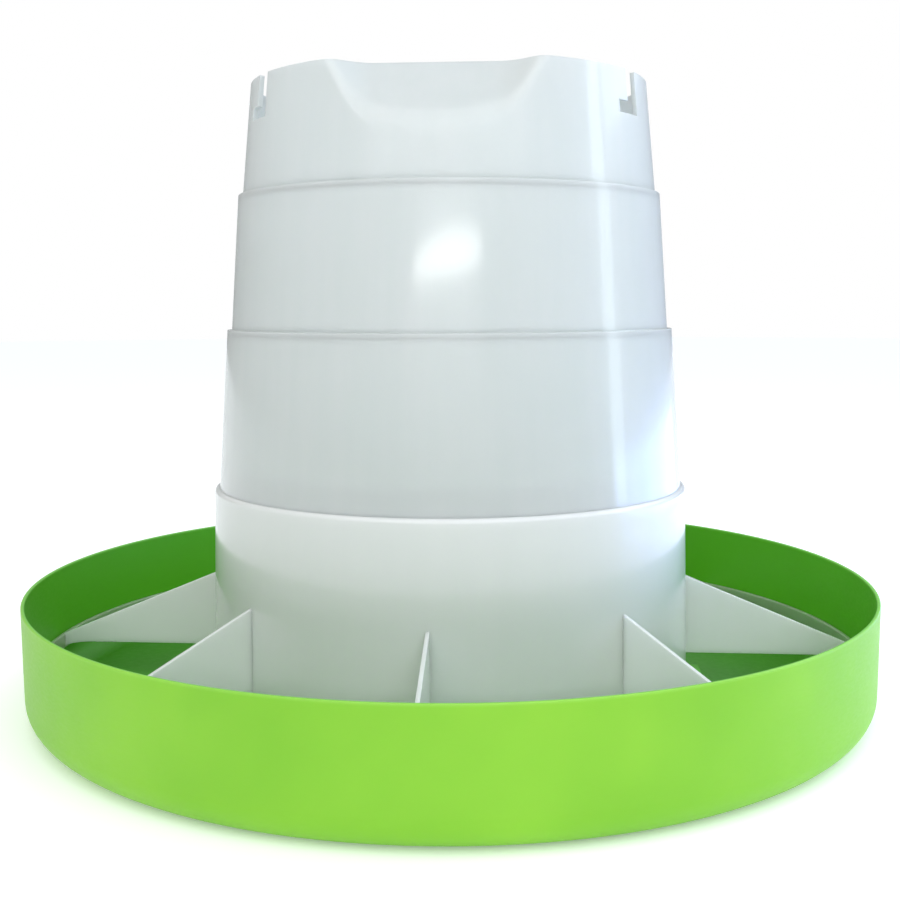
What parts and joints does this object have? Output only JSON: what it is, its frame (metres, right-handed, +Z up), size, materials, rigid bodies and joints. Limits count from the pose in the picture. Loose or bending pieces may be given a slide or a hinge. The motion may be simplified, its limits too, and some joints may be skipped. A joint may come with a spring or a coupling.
{
  "type": "poultry tube feeder",
  "caption": "Round green feed pan with a finned anti-waste grill and a stepped, tapering translucent hopper tube with a finger scoop and lid slots.",
  "frame": {"origin": "centre of the pan's underside, on the ground", "axes": "+Z up along the feeder's axis, -Y to the front where the finger scoop is, +X to the right"},
  "size_m": [0.3806, 0.3806, 0.2725],
  "materials": {
    "pan_green": "moulded green polypropylene, glossy",
    "clear_polypropylene": "moulded natural polypropylene, milky and translucent"
  },
  "bodies": {
    "pan": {"feed_pan": "pan_green", "spreader_cone": "pan_green", "pan_hook_1": "pan_green", "pan_hook_2": "pan_green", "pan_hook_3": "pan_green", "pan_hook_4": "pan_green"},
    "grill": {"grill_collar": "clear_polypropylene", "grill_foot_1": "clear_polypropylene", "grill_foot_2": "clear_polypropylene", "grill_foot_3": "clear_polypropylene", "grill_foot_4": "clear_polypropylene", "grill_fin_1": "clear_polypropylene", "grill_fin_2": "clear_polypropylene", "grill_fin_3": "clear_polypropylene", "grill_fin_4": "clear_polypropylene", "grill_fin_5": "clear_polypropylene", "grill_fin_6": "clear_polypropylene", "grill_fin_7": "clear_polypropylene", "grill_fin_8": "clear_polypropylene", "grill_ring": "clear_polypropylene"},
    "tube": {"hopper_tube": "clear_polypropylene"}
  },
  "joints": [
    {"name": "twist_lock", "type": "hinge", "parent": "pan", "child": "grill", "pos_m": [0, 0, 0], "axis": [0, 0, 1], "range_deg": [0, 78]},
    {"name": "tube_lift", "type": "slide", "parent": "grill", "child": "tube", "axis": [0, 0, 1], "range_m": [0, 0.06]}
  ]
}
